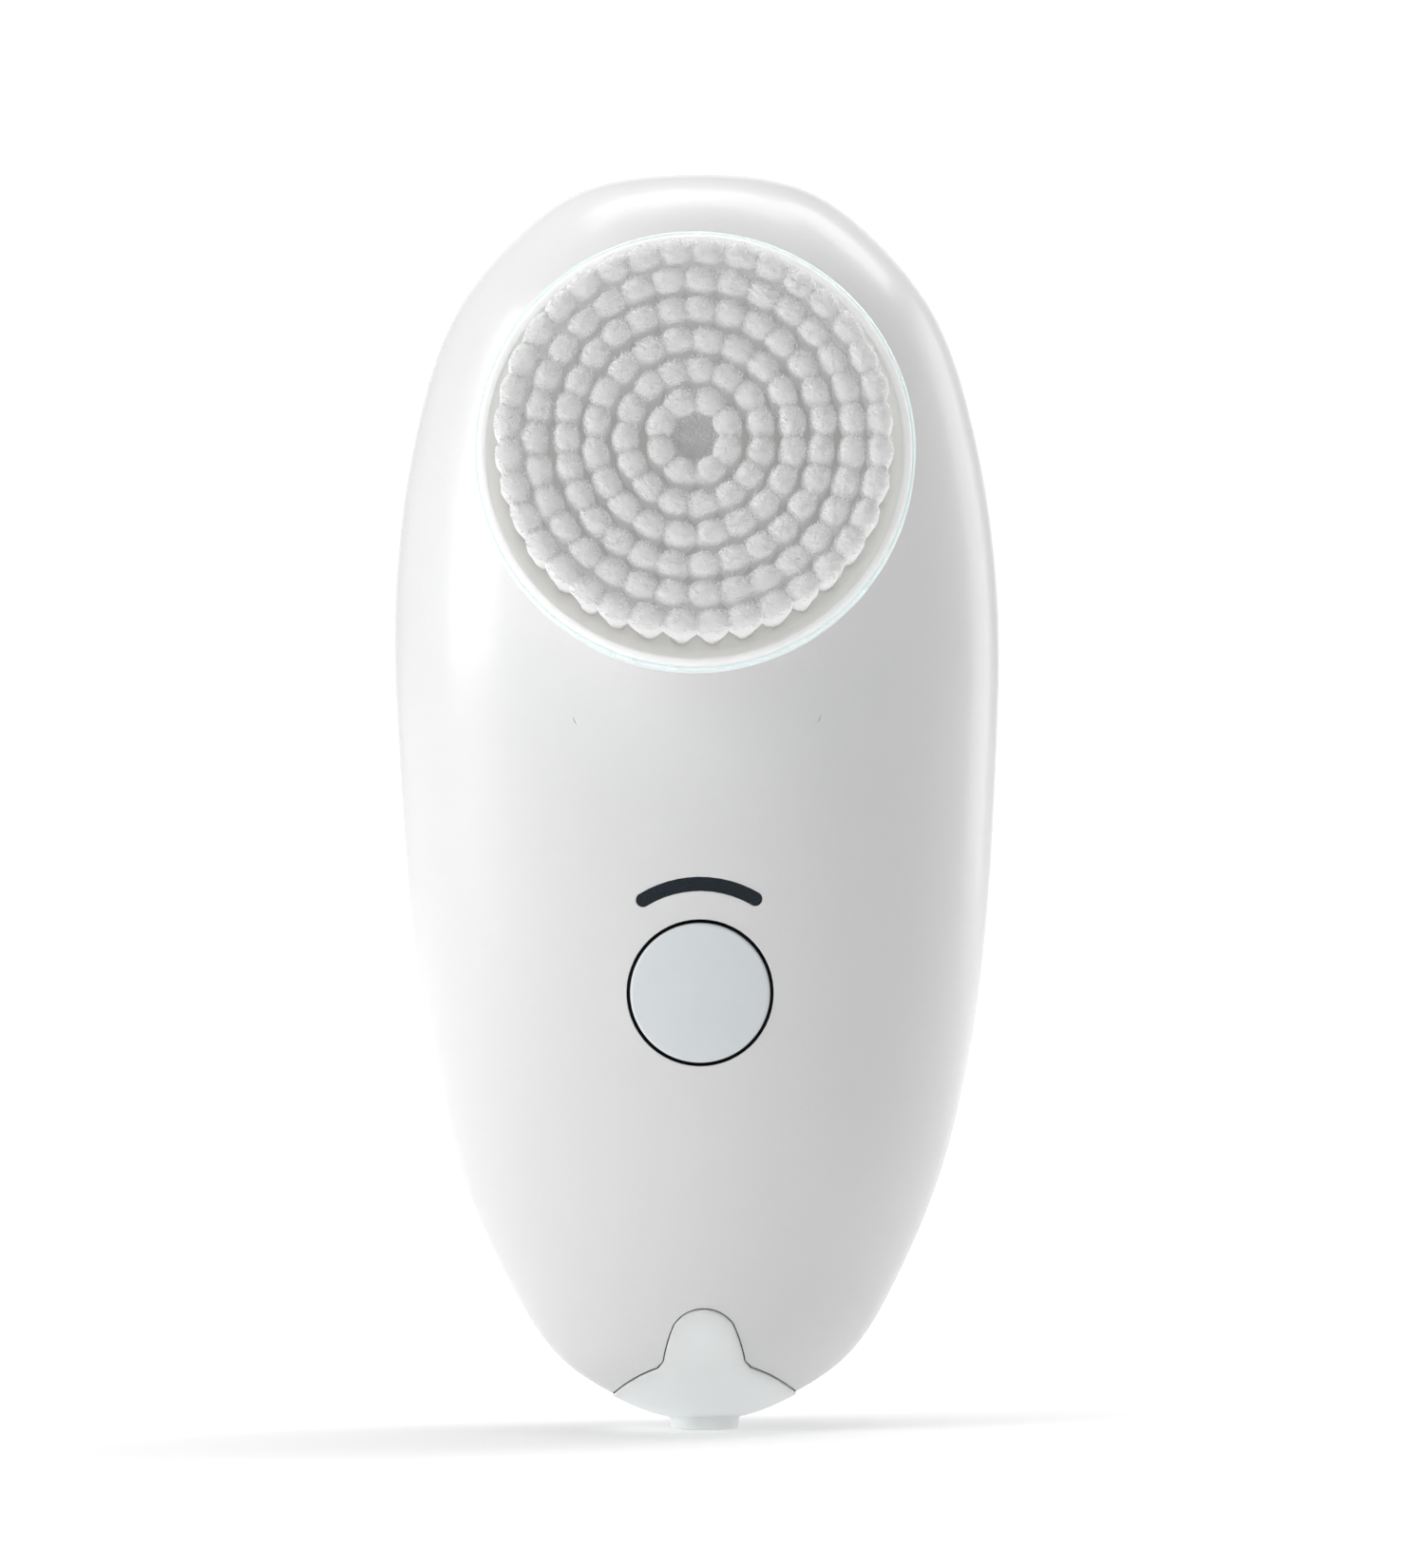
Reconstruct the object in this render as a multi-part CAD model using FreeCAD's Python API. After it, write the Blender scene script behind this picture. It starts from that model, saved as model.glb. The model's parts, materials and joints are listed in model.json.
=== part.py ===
import FreeCAD, Part
import math
import os
from FreeCAD import Vector

# Facial cleansing brush, millimetres.
# X is left to right, the front faces -Y, Z is up along the handle.
# The origin is the middle of the flat foot under the charging plug.

# Handle body
HALF_WIDTH = 31.35
FRONT_RATIO = 0.58
REAR_RATIO = 0.72
WALL = 2.0
END_FACE_Z = 3.4
END_WALL = 2.0
SEAM_WIDTH = 0.24
SEAM_DEPTH = 0.3
GASKET_WIDTH = 0.5
GASKET_INSET = 0.8

# Half widths of the handle outline, as radius and height, from top to foot
OUTLINE = [
    (0.0, 130.0),
    (12.2, 128.1),
    (18.9, 123.1),
    (24.65, 115.8),
    (28.3, 105.9),
    (30.4, 95.0),
    (31.35, 81.5),
    (30.9, 68.9),
    (29.9, 54.1),
    (27.95, 39.3),
    (24.1, 24.5),
    (19.7, 14.7),
    (14.9, 7.5),
    (9.2, 3.6),
    (4.4, 1.65),
    (0.0, 1.15),
]

# Drive axis: the head centre on the collar face, and the upward lean of the axis
HEAD_Y = -18.2
HEAD_Z = 100.0
HEAD_LEAN = 5.0
COLLAR_R = 19.6
COLLAR_WALL = 2.0
COLLAR_FILLET = 2.0
HUB_WELL_R = 8.0
HUB_WELL_WALL = 1.5
HUB_WELL_FLOOR = -6.8
HUB_WELL_FLOOR_THICK = 1.5

# Brush head
CUP_R = 22.0
CUP_BACK = 0.8
CUP_FLOOR = 3.2
CUP_RIM = 7.0
CUP_LIP = 0.9
BUMPER_THICK = 0.35
HUB_R = 6.3
HUB_END = -4.6
MAGNET_R = 3.0
TUFT_TIP = 19.0
TUFT_BASE_R = 0.9
TUFT_TIP_R = 1.35
TUFT_ROUND = 0.6
TUFT_RINGS = [(3.65, 8), (6.8, 15), (9.84, 20), (12.86, 27), (15.84, 31), (18.6, 36)]

# Gear train, two stages in line down the handle
MODULE = 0.5
PRESSURE_ANGLE = 25.0
PINION_TEETH = 10
WHEEL_TEETH = 36
OUTPUT_TEETH = 40
BACKLASH = 0.08
CENTRE_PLAY = 0.06
SHAFT_R = 2.0
SHAFT_FLAT = 1.5
PIN_R = 1.0
RUN_GAP = 0.05

# Gearbox, positions along the drive axis
COVER_FRONT = -7.0
COVER_BACK = -9.0
PLATE_FRONT = -16.5
PLATE_BACK = -18.5
GEARBOX_TOP_R = 12.5
GEARBOX_LOW_R = 9.5
GEARBOX_WALL = 1.3
EAR_R = 2.6
EARS = [(-13.6, -8.0), (13.6, -8.0), (-11.7, -26.0), (11.7, -26.0)]
GEARBOX_SCREW_R = 0.9

# Motor
MOTOR_R = 10.0
MOTOR_HALF_FLAT = 7.5
MOTOR_LENGTH = 19.0
MOTOR_SHAFT_R = 1.0
LEAD_R = 0.55

# Power button and indicator
BUTTON_Z = 45.6
BUTTON_HOLE_R = 7.5
BUTTON_R = 7.15
BUTTON_FLANGE_R = 8.5
ARC_R = 11.1
ARC_WIDTH = 1.45
ARC_HALF_ANGLE = 31.0

# Circuit board and battery
BOARD_FRONT = -8.5
BOARD_THICK = 1.2
BOARD_HALF_WIDTH = 11.0
BOARD_LOW = 20.0
BOARD_HIGH = 62.5
BOARD_POSTS = [(-8.6, 24.0), (8.6, 24.0), (-8.8, 60.0), (8.8, 60.0)]
BATTERY_R = 7.05
BATTERY_SLEEVE = 0.15
BATTERY_Y = 3.2
BATTERY_LOW = 17.5
BATTERY_LENGTH = 43.0

# Case screws, as x and z
CASE_SCREWS = [(-16.5, 113.5), (16.5, 113.5), (-15.2, 30.0), (15.2, 30.0)]

# Charging port and plug
PORT_HALF_X = 3.75
PORT_HALF_Y = 1.3
PORT_MOUTH = 5.7
PORT_DEPTH = 5.2
WELL_HALF_X = 4.5
WELL_FRONT = -2.7
WELL_REAR = 2.3
PLUG_GAP = 0.12
PLUG_SKIN = 1.15
PLUG_PROUD = 0.25
HINGE_Z = 7.2
STRAP_SPLIT = 0.8


def box(x0, x1, y0, y1, z0, z1):
    return Part.makeBox(x1 - x0, y1 - y0, z1 - z0, Vector(x0, y0, z0))


def rod_y(x, z, radius, y0, y1):
    return Part.makeCylinder(radius, y1 - y0, Vector(x, y0, z), Vector(0, 1, 0))


def fused(shapes):
    first = shapes[0]
    if len(shapes) == 1:
        return first
    return first.multiFuse(shapes[1:]).removeSplitter()


def drive_placement():
    turn = FreeCAD.Rotation(Vector(1, 0, 0), 90.0 - HEAD_LEAN)
    return FreeCAD.Placement(Vector(0, HEAD_Y, HEAD_Z), turn)


def on_drive(shape):
    # Drive parts are drawn with Z along the brush axis and Y up the handle.
    placed = shape.copy()
    placed.Placement = drive_placement().multiply(shape.Placement)
    return placed


def rod_w(x, v, radius, w0, w1):
    return Part.makeCylinder(radius, w1 - w0, Vector(x, v, w0), Vector(0, 0, 1))


def outline_curve(offset):
    curve = Part.BSplineCurve()
    points = [Vector(r, 0, z) for r, z in OUTLINE]
    curve.interpolate(Points=points, InitialTangent=Vector(1, 0, 0), FinalTangent=Vector(-1, 0, 0), Scale=False)
    if abs(offset) < 1e-6:
        return curve
    moved = []
    for point in points:
        along = curve.tangent(curve.parameter(point))[0]
        inward = Vector(along.z, 0, -along.x)
        moved.append(point + inward * offset)
    moved[0].x = 0.0
    moved[-1].x = 0.0
    inner = Part.BSplineCurve()
    inner.interpolate(Points=moved, InitialTangent=Vector(1, 0, 0), FinalTangent=Vector(-1, 0, 0), Scale=False)
    return inner


def outline_half_face(offset):
    curve = outline_curve(offset)
    side = curve.toShape()
    axis = Part.makeLine(curve.EndPoint, curve.StartPoint)
    return Part.Face(Part.Wire([side, axis]))


def half_egg(offset, ratio, front):
    # Half of a turned egg, flattened front to back, with its flat side on the seam plane.
    sweep = -180 if front else 180
    turned = outline_half_face(offset).revolve(Vector(0, 0, 0), Vector(0, 0, 1), sweep)
    flatten = FreeCAD.Matrix()
    width = HALF_WIDTH - offset
    flatten.scale(1.0, (HALF_WIDTH * ratio - offset) / width, 1.0)
    return turned.transformGeometry(flatten)


EGGS = {}


def kept_egg(offset, ratio, front):
    key = (round(offset, 4), front)
    if key not in EGGS:
        EGGS[key] = half_egg(offset, ratio, front)
    return EGGS[key].copy()


def front_egg(offset):
    return kept_egg(offset, FRONT_RATIO, True)


def rear_egg(offset):
    return kept_egg(offset, REAR_RATIO, False)


def above(z):
    return box(-60, 60, -60, 60, z, 160)


def below(z):
    return box(-60, 60, -60, 60, -20, z)


def arc_slot(radius, width, half_angle, centre_z, y0, y1):
    # A curved slot with round ends, concentric with the button.
    outer = radius + width / 2
    inner = radius - width / 2
    a = math.radians(half_angle)

    def at(r, angle):
        return Vector(r * math.sin(angle), y0, centre_z + r * math.cos(angle))

    top = Part.Arc(at(outer, -a), at(outer, 0), at(outer, a)).toShape()
    low = Part.Arc(at(inner, a), at(inner, 0), at(inner, -a)).toShape()
    bulge = math.asin(width / 2 / radius)
    right = Part.Arc(at(outer, a), at(radius, a + bulge), at(inner, a)).toShape()
    left = Part.Arc(at(inner, -a), at(radius, -a - bulge), at(outer, -a)).toShape()
    face = Part.Face(Part.Wire([top, right, low, left]))
    return face.extrude(Vector(0, y1 - y0, 0))


def bell_outline(gap):
    # Front view of the charging plug: a rounded tongue that flares into two wings.
    def mirror(point):
        return Vector(-point.x, 0, point.z)

    tongue_top = Vector(0, 0, 13.0 + gap)
    tongue_side = Vector(3.0 + gap, 0, 11.4)
    tongue_mid = Vector(3.75 + gap, 0, 9.3)
    tongue_foot = Vector(4.15 + gap, 0, 7.5)
    flare = Vector(4.75 + gap, 0, 6.75 + gap)
    wing_high = Vector(6.9 + gap, 0, 5.75 + gap)
    wing_tip = Vector(9.6 + gap, 0, 3.55 + gap)
    low = Vector(9.6 + gap, 0, -1.0)
    crown = Part.Arc(mirror(tongue_side), tongue_top, tongue_side).toShape()
    edges = [crown]
    right = Part.Arc(tongue_side, tongue_mid, tongue_foot).toShape()
    corner = Part.makeLine(tongue_foot, flare)
    wing = Part.Arc(flare, wing_high, wing_tip).toShape()
    drop = Part.makeLine(wing_tip, low)
    edges += [right, corner, wing, drop]
    edges.append(Part.makeLine(low, mirror(low)))
    edges.append(Part.makeLine(mirror(low), mirror(wing_tip)))
    edges.append(Part.Arc(mirror(wing_tip), mirror(wing_high), mirror(flare)).toShape())
    edges.append(Part.makeLine(mirror(flare), mirror(tongue_foot)))
    edges.append(Part.Arc(mirror(tongue_foot), mirror(tongue_mid), mirror(tongue_side)).toShape())
    return Part.Face(Part.Wire(edges))


def bell_prism(gap):
    face = bell_outline(gap)
    prism = face.extrude(Vector(0, -30, 0))
    return prism


def collar_outer():
    return on_drive(rod_w(0, 0, COLLAR_R, -14, 0))


def collar_inner():
    return on_drive(rod_w(0, 0, COLLAR_R - COLLAR_WALL, -16, -COLLAR_WALL))


def front_outer():
    # The handle front with the round neck that carries the brush head.
    neck = collar_outer().common(box(-60, 60, -60, -4, 0, 160))
    joined = front_egg(0).fuse(neck).removeSplitter()
    rim = []
    for edge in joined.Edges:
        if edge.Degenerated:
            continue
        middle = edge.valueAt((edge.FirstParameter + edge.LastParameter) / 2)
        local = drive_placement().inverse().multVec(middle)
        reach = math.hypot(local.x, local.y)
        if abs(reach - COLLAR_R) < 0.01 and local.z < -0.2:
            rim.append(edge)
    return joined.makeFillet(COLLAR_FILLET, rim)


def neck_edge_rounded(shape):
    # Rounds the front edge of the neck.
    for edge in shape.Edges:
        if edge.Degenerated:
            continue
        if edge.Closed and edge.Curve.TypeId == "Part::GeomCircle":
            centre = drive_placement().inverse().multVec(edge.Curve.Center)
            if abs(centre.z) < 0.01 and abs(edge.Curve.Radius - COLLAR_R) < 0.01:
                return shape.makeFillet(0.6, [edge])
    return shape


def gasket_half(front):
    egg = front_egg if front else rear_egg
    slab = box(-60, 60, -0.5, 0.5, 6.0, 160)
    return egg(GASKET_INSET).common(slab).cut(egg(GASKET_INSET + GASKET_WIDTH))


def seam_groove(front):
    half = SEAM_WIDTH / 2
    egg = front_egg if front else rear_egg
    if front:
        slab = box(-60, 60, -half, 0, -20, 160)
    else:
        slab = box(-60, 60, 0, half, -20, 160)
    return slab.cut(egg(SEAM_DEPTH))


def port_well():
    return box(-WELL_HALF_X, WELL_HALF_X, WELL_FRONT, WELL_REAR, 0, PORT_MOUTH + 0.3)


def front_shell():
    outer = neck_edge_rounded(front_outer())
    cavity = front_egg(WALL).common(above(END_FACE_Z + END_WALL))
    neck_hollow = collar_inner().common(box(-60, 60, -60, -6, 0, 160))
    shell = outer.cut(cavity.fuse(neck_hollow))
    well_r = HUB_WELL_R + HUB_WELL_WALL
    hub_well = on_drive(rod_w(0, 0, well_r, HUB_WELL_FLOOR, -0.5))
    additions = [shell, hub_well]
    keep = front_egg(0.8).fuse(on_drive(rod_w(0, 0, COLLAR_R - 0.8, -14, -0.8)))
    for x, v in EARS:
        additions.append(on_drive(rod_w(x, v, EAR_R, COVER_FRONT, 2)).common(keep))
    for x, z in BOARD_POSTS:
        additions.append(rod_y(x, z, 1.9, -25, BOARD_FRONT).common(front_egg(0.8)))
    for x, z in CASE_SCREWS:
        additions.append(rod_y(x, z, 3.0, -25, 0).common(front_egg(0.8)))
    shell = fused(additions)
    cuts = [below(END_FACE_Z), port_well(), seam_groove(True), gasket_half(True)]
    floor_top = HUB_WELL_FLOOR + HUB_WELL_FLOOR_THICK
    cuts.append(on_drive(rod_w(0, 0, HUB_WELL_R, floor_top, 2)))
    cuts.append(on_drive(rod_w(0, 0, 4.4, HUB_WELL_FLOOR - 1, floor_top + 1)))
    cuts.append(rod_y(0, BUTTON_Z, BUTTON_HOLE_R, -30, -10))
    cuts.append(arc_slot(ARC_R, ARC_WIDTH, ARC_HALF_ANGLE, BUTTON_Z, -30, -10))
    for x, v in EARS:
        cuts.append(on_drive(rod_w(x, v, GEARBOX_SCREW_R, COVER_FRONT - 1, COVER_FRONT + 3.0)))
    for x, z in BOARD_POSTS:
        cuts.append(rod_y(x, z, 0.8, BOARD_FRONT - 2.2, BOARD_FRONT + 1))
    for x, z in CASE_SCREWS:
        cuts.append(rod_y(x, z, 1.0, -5.0, 1))
    shell = shell.cut(cuts)
    recess = bell_prism(PLUG_GAP).cut(front_egg(PLUG_SKIN + 0.2)).common(below(20))
    shell = shell.cut(recess)
    shell = shell.cut(anchor_post(0.0))
    return shell


def rear_shell():
    shell = rear_egg(0).cut(rear_egg(WALL).common(above(END_FACE_Z + END_WALL)))
    additions = [shell]
    for x, z in CASE_SCREWS:
        additions.append(rod_y(x, z, 3.4, 0, 40).common(rear_egg(0.8)))
    # A ledge that the charging board is bonded to.
    additions.append(box(-6, 6, PORT_HALF_Y + 1.0, 20, 7.2, 9.2).common(rear_egg(0.8)))
    for z in (76.0, 92.0, 108.0):
        rib = box(-40, 40, 0.5, 40, z, z + 1.2).common(rear_egg(1.0))
        additions.append(rib.cut(rear_egg(WALL + 1.2)))
    shell = fused(additions)
    cuts = [below(END_FACE_Z), port_well(), seam_groove(False), gasket_half(False)]
    for x, z in CASE_SCREWS:
        cuts.append(rod_y(x, z, 1.15, -1, 30))
        cuts.append(rod_y(x, z, 2.2, 5.0, 40))
    return shell.cut(cuts)


def shell_gasket():
    return gasket_half(True).fuse(gasket_half(False)).removeSplitter()


def case_screws():
    screws = []
    for x, z in CASE_SCREWS:
        shank = rod_y(x, z, 1.0, -4.8, 5.0)
        head = rod_y(x, z, 1.9, 5.0, 6.6)
        slot = box(x - 1.2, x + 1.2, 5.9, 7, z - 0.22, z + 0.22)
        cross = box(x - 0.22, x + 0.22, 5.9, 7, z - 1.2, z + 1.2)
        screws.append(shank.fuse(head).cut([slot, cross]))
    return Part.makeCompound(screws)


def screw_plugs():
    plugs = []
    for x, z in CASE_SCREWS:
        plugs.append(rod_y(x, z, 2.2, 8.0, 40).common(rear_egg(0.05)))
    return Part.makeCompound(plugs)


def power_button():
    cap = rod_y(0, BUTTON_Z, BUTTON_R, -30, -12.9).common(front_egg(-0.12))
    edge_round = []
    for edge in cap.Edges:
        middle = edge.valueAt((edge.FirstParameter + edge.LastParameter) / 2)
        if middle.y < -14.5 and abs(math.hypot(middle.x, middle.z - BUTTON_Z) - BUTTON_R) < 0.01:
            if edge.Length > 5:
                edge_round.append(edge)
    cap = cap.makeFillet(0.3, edge_round)
    flange = rod_y(0, BUTTON_Z, BUTTON_FLANGE_R, -13.6, -12.7)
    post = rod_y(0, BUTTON_Z, 1.6, -12.7, -12.0)
    hollow = rod_y(0, BUTTON_Z, 5.6, -14.6, -12.0).cut(rod_y(0, BUTTON_Z, 1.6, -15, -11))
    return cap.fuse([flange, post]).cut(hollow).removeSplitter()


def button_seal():
    ring = rod_y(0, BUTTON_Z, 9.6, -16.5, -13.9).cut(rod_y(0, BUTTON_Z, BUTTON_R + 0.3, -17, -13))
    return ring.common(front_egg(WALL))


def switch_plunger():
    return rod_y(0, BUTTON_Z, 1.5, -12.0, -10.6)


def tact_switch():
    body = box(-3, 3, -11.3, BOARD_FRONT, BUTTON_Z - 3, BUTTON_Z + 3)
    well = rod_y(0, BUTTON_Z, 1.85, -12, -10.0)
    return body.cut(well)


def indicator_window():
    guide = arc_slot(ARC_R, ARC_WIDTH, ARC_HALF_ANGLE, BUTTON_Z, -30, -12.0).common(front_egg(0.04))
    shelf = arc_slot(ARC_R, ARC_WIDTH + 1.1, ARC_HALF_ANGLE + 2.0, BUTTON_Z, -16.5, -13.4)
    return guide.fuse(shelf.common(front_egg(WALL))).removeSplitter()


def trimmed_seal():
    shelf = arc_slot(ARC_R, ARC_WIDTH + 1.3, ARC_HALF_ANGLE + 3.0, BUTTON_Z, -17, -13)
    return button_seal().cut(shelf)


def indicator_leds():
    lamps = []
    for step in range(-2, 3):
        angle = math.radians(step * ARC_HALF_ANGLE / 2.2)
        x = ARC_R * math.sin(angle)
        z = BUTTON_Z + ARC_R * math.cos(angle)
        lamps.append(box(x - 0.8, x + 0.8, BOARD_FRONT - 0.7, BOARD_FRONT, z - 0.5, z + 0.5))
    return Part.makeCompound(lamps)


def circuit_board():
    y1 = BOARD_FRONT + BOARD_THICK
    board = box(-BOARD_HALF_WIDTH, BOARD_HALF_WIDTH, BOARD_FRONT, y1, BOARD_LOW, BOARD_HIGH)
    corners = [e for e in board.Edges if abs(e.tangentAt(e.FirstParameter).y) > 0.9]
    board = board.makeFillet(1.5, corners)
    holes = [rod_y(x, z, 0.95, -12, -5) for x, z in BOARD_POSTS]
    return board.cut(holes)


def board_chips():
    y0 = BOARD_FRONT + BOARD_THICK
    chips = [
        box(-7.5, -3.5, y0, y0 + 0.9, 30, 35),
        box(2.0, 6.0, y0, y0 + 0.9, 28, 33),
        box(-2.0, 0.2, y0, y0 + 1.1, 38, 41.5),
        box(4.0, 7.4, y0, y0 + 0.9, 40, 43),
    ]
    return Part.makeCompound(chips)


def lead_connectors():
    y0 = BOARD_FRONT + BOARD_THICK
    motor_side = box(-10.4, -5.4, y0, y0 + 2.0, 50, 54)
    battery_side = box(5.4, 10.4, y0, y0 + 2.0, 50, 54)
    return Part.makeCompound([motor_side, battery_side])


def board_screws():
    y0 = BOARD_FRONT + BOARD_THICK
    screws = []
    for x, z in BOARD_POSTS:
        shank = rod_y(x, z, 0.8, BOARD_FRONT - 2.0, y0)
        head = rod_y(x, z, 1.5, y0, y0 + 0.9)
        slot = box(x - 1.0, x + 1.0, y0 + 0.45, y0 + 1, z - 0.2, z + 0.2)
        screws.append(shank.fuse(head).cut(slot))
    return Part.makeCompound(screws)


def battery_cell():
    radius = BATTERY_R - BATTERY_SLEEVE
    return Part.makeCylinder(radius, BATTERY_LENGTH, Vector(0, BATTERY_Y, BATTERY_LOW))


def battery_sleeve():
    outer = Part.makeCylinder(BATTERY_R, BATTERY_LENGTH, Vector(0, BATTERY_Y, BATTERY_LOW))
    return outer.cut(battery_cell())


def battery_tabs():
    top = BATTERY_LOW + BATTERY_LENGTH
    upper = box(-2, 2, BATTERY_Y - 4, BATTERY_Y + 4, top, top + 0.25)
    lower = box(-2, 2, BATTERY_Y - 4, BATTERY_Y + 4, BATTERY_LOW - 0.25, BATTERY_LOW)
    return Part.makeCompound([upper, lower])


def battery_cradle():
    low = BATTERY_LOW + 4.0
    high = BATTERY_LOW + BATTERY_LENGTH - 8.0
    block = box(-9, 9, BATTERY_Y - 1.5, 30, low, high).common(rear_egg(WALL))
    bore = Part.makeCylinder(BATTERY_R, 90, Vector(0, BATTERY_Y, 0))
    window_low = box(-20, 20, BATTERY_Y - 8, 9.0, low + 3.0, low + 17.0)
    window_high = box(-20, 20, BATTERY_Y - 8, 9.0, high - 17.0, high - 3.0)
    pocket = box(-7.4, 7.4, 10.7, 40, low + 3.0, high - 3.0)
    spine = box(-1.2, 1.2, 10.7, 40, low + 2.0, high - 2.0).common(rear_egg(WALL))
    return block.cut([bore, window_low, window_high, pocket]).fuse(spine).removeSplitter()


def usb_socket():
    y0 = -PORT_HALF_Y
    y1 = PORT_HALF_Y
    shell = box(-PORT_HALF_X, PORT_HALF_X, y0, y1, PORT_MOUTH, PORT_MOUTH + PORT_DEPTH)
    corners = []
    for edge in shell.Edges:
        if abs(edge.tangentAt(edge.FirstParameter).z) > 0.9 and edge.CenterOfMass.y < 0:
            corners.append(edge)
    shell = shell.makeChamfer(0.9, corners)
    mouth = box(-PORT_HALF_X + 0.8, PORT_HALF_X - 0.8, y0 + 0.35, y1 - 0.35, 0, PORT_MOUTH + 4.2)
    return shell.cut(mouth)


def usb_contacts():
    # The insulator tongue inside the socket.
    return box(-1.9, 1.9, 0.05, 0.55, PORT_MOUTH + 0.8, PORT_MOUTH + 4.2)


def charge_board():
    y0 = PORT_HALF_Y
    return box(-7, 7, y0, y0 + 1.0, PORT_MOUTH + 0.9, 15.6)


def charge_ribbon():
    # A flat cable from the charging board, under the battery, up to the main board.
    start = Vector(0, 0.9, 13.4)
    low = Vector(0, -1.2, 12.6)
    lift = Vector(0, -4.6, 14.6)
    rise = Vector(0, -6.6, 19.6)
    end = Vector(0, -7.1, 27.2)
    path = Part.BSplineCurve()
    path.interpolate([start, low, lift, rise, end])
    wire = Part.Wire(path.toShape())
    along = path.tangent(path.FirstParameter)[0]
    across = Vector(1, 0, 0)
    thick = along.cross(across)
    a = start + across * 2.5 + thick * 0.15
    b = start - across * 2.5 + thick * 0.15
    c = start - across * 2.5 - thick * 0.15
    d = start + across * 2.5 - thick * 0.15
    section = Part.makePolygon([a, b, c, d, a])
    return wire.makePipeShell([section], True, True)


def involute_point(base, radius, start_angle, sign):
    spread = math.sqrt(max((radius / base) ** 2 - 1.0, 0.0))
    angle = start_angle + sign * (spread - math.atan(spread))
    return Vector(radius * math.cos(angle), radius * math.sin(angle), 0)


def gear_face(teeth, first_angle):
    # Involute teeth with arcs for flanks; first_angle points at the middle of a tooth.
    pitch = MODULE * teeth / 2
    pressure = math.radians(PRESSURE_ANGLE)
    base = pitch * math.cos(pressure)
    tip = pitch + 0.8 * MODULE
    root = pitch - 1.05 * MODULE
    foot = max(base + 0.001, root + 0.02)
    inv = math.tan(pressure) - pressure
    half = math.pi / (2 * teeth) - BACKLASH / (4 * pitch) + inv
    step = 2 * math.pi / teeth
    edges = []
    previous = None
    first = None
    for index in range(teeth):
        middle = math.radians(first_angle) + index * step
        low = involute_point(base, foot, middle - half, 1)
        mid = involute_point(base, (foot + tip) / 2, middle - half, 1)
        high = involute_point(base, tip, middle - half, 1)
        high2 = involute_point(base, tip, middle + half, -1)
        mid2 = involute_point(base, (foot + tip) / 2, middle + half, -1)
        low2 = involute_point(base, foot, middle + half, -1)
        a = math.atan2(low.y, low.x)
        b = math.atan2(low2.y, low2.x)
        root_in = Vector(root * math.cos(a), root * math.sin(a), 0)
        root_out = Vector(root * math.cos(b), root * math.sin(b), 0)
        crest = Vector(tip * math.cos(middle), tip * math.sin(middle), 0)
        valley_angle = middle - step / 2
        valley = Vector(root * math.cos(valley_angle), root * math.sin(valley_angle), 0)
        if previous is None:
            first = (root_in, valley)
        else:
            edges.append(Part.Arc(previous, valley, root_in).toShape())
        edges.append(Part.makeLine(root_in, low))
        edges.append(Part.Arc(low, mid, high).toShape())
        edges.append(Part.Arc(high, crest, high2).toShape())
        edges.append(Part.Arc(high2, mid2, low2).toShape())
        edges.append(Part.makeLine(low2, root_out))
        previous = root_out
    edges.append(Part.Arc(previous, first[1], first[0]).toShape())
    return Part.Face(Part.Wire(edges))


def gear(teeth, first_angle, v, w0, w1):
    body = gear_face(teeth, first_angle).extrude(Vector(0, 0, w1 - w0))
    body.translate(Vector(0, v, w0))
    return body


def compound_centre():
    return -(MODULE * (OUTPUT_TEETH + PINION_TEETH) / 2 + CENTRE_PLAY)


def motor_centre():
    return compound_centre() - (MODULE * (WHEEL_TEETH + PINION_TEETH) / 2 + CENTRE_PLAY)


def d_section(radius, flat, w0, w1):
    rod = rod_w(0, 0, radius, w0, w1)
    return rod.cut(box(-radius * 2, radius * 2, flat, radius * 2, w0 - 1, w1 + 1))


def output_shaft():
    plain = rod_w(0, 0, SHAFT_R, -18.2, -5.2)
    drive_end = d_section(SHAFT_R, SHAFT_FLAT, -5.2, 0.3)
    return on_drive(plain.fuse(drive_end).removeSplitter())


def output_gear():
    blank = gear(OUTPUT_TEETH, -90.0, 0.0, -12.2, -9.9)
    hub = rod_w(0, 0, 4.0, -14.5, -9.6)
    web_cut = rod_w(0, 0, 8.2, -11.0, -9.0).cut(rod_w(0, 0, 4.0, -12, -8))
    bore = rod_w(0, 0, SHAFT_R, -20, 0)
    # The rear hub is narrow, because the next wheel turns close behind it.
    relief = rod_w(0, 0, 5.0, -15, -12.2).cut(rod_w(0, 0, 2.6, -16, -12))
    return on_drive(blank.fuse(hub).cut([web_cut, bore, relief]).removeSplitter())


def compound_gear():
    v = compound_centre()
    half_tooth = 180.0 / PINION_TEETH
    pinion = gear(PINION_TEETH, 90.0 + half_tooth, v, -13.1, -9.6)
    wheel = gear(WHEEL_TEETH, -90.0, v, -15.6, -13.1)
    web_cut = rod_w(0, v, 7.2, -15.7, -14.8).cut(rod_w(0, v, 3.0, -16, -14))
    bore = rod_w(0, v, PIN_R + RUN_GAP, -20, 0)
    return on_drive(pinion.fuse(wheel).cut([web_cut, bore]).removeSplitter())


def gear_pin():
    return on_drive(rod_w(0, compound_centre(), PIN_R, -17.8, -7.6))


def motor_pinion():
    v = motor_centre()
    half_tooth = 180.0 / PINION_TEETH
    teeth = gear(PINION_TEETH, 90.0 + half_tooth, v, -16.0, -12.6)
    return on_drive(teeth.cut(rod_w(0, v, MOTOR_SHAFT_R, -20, 0)))


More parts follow.
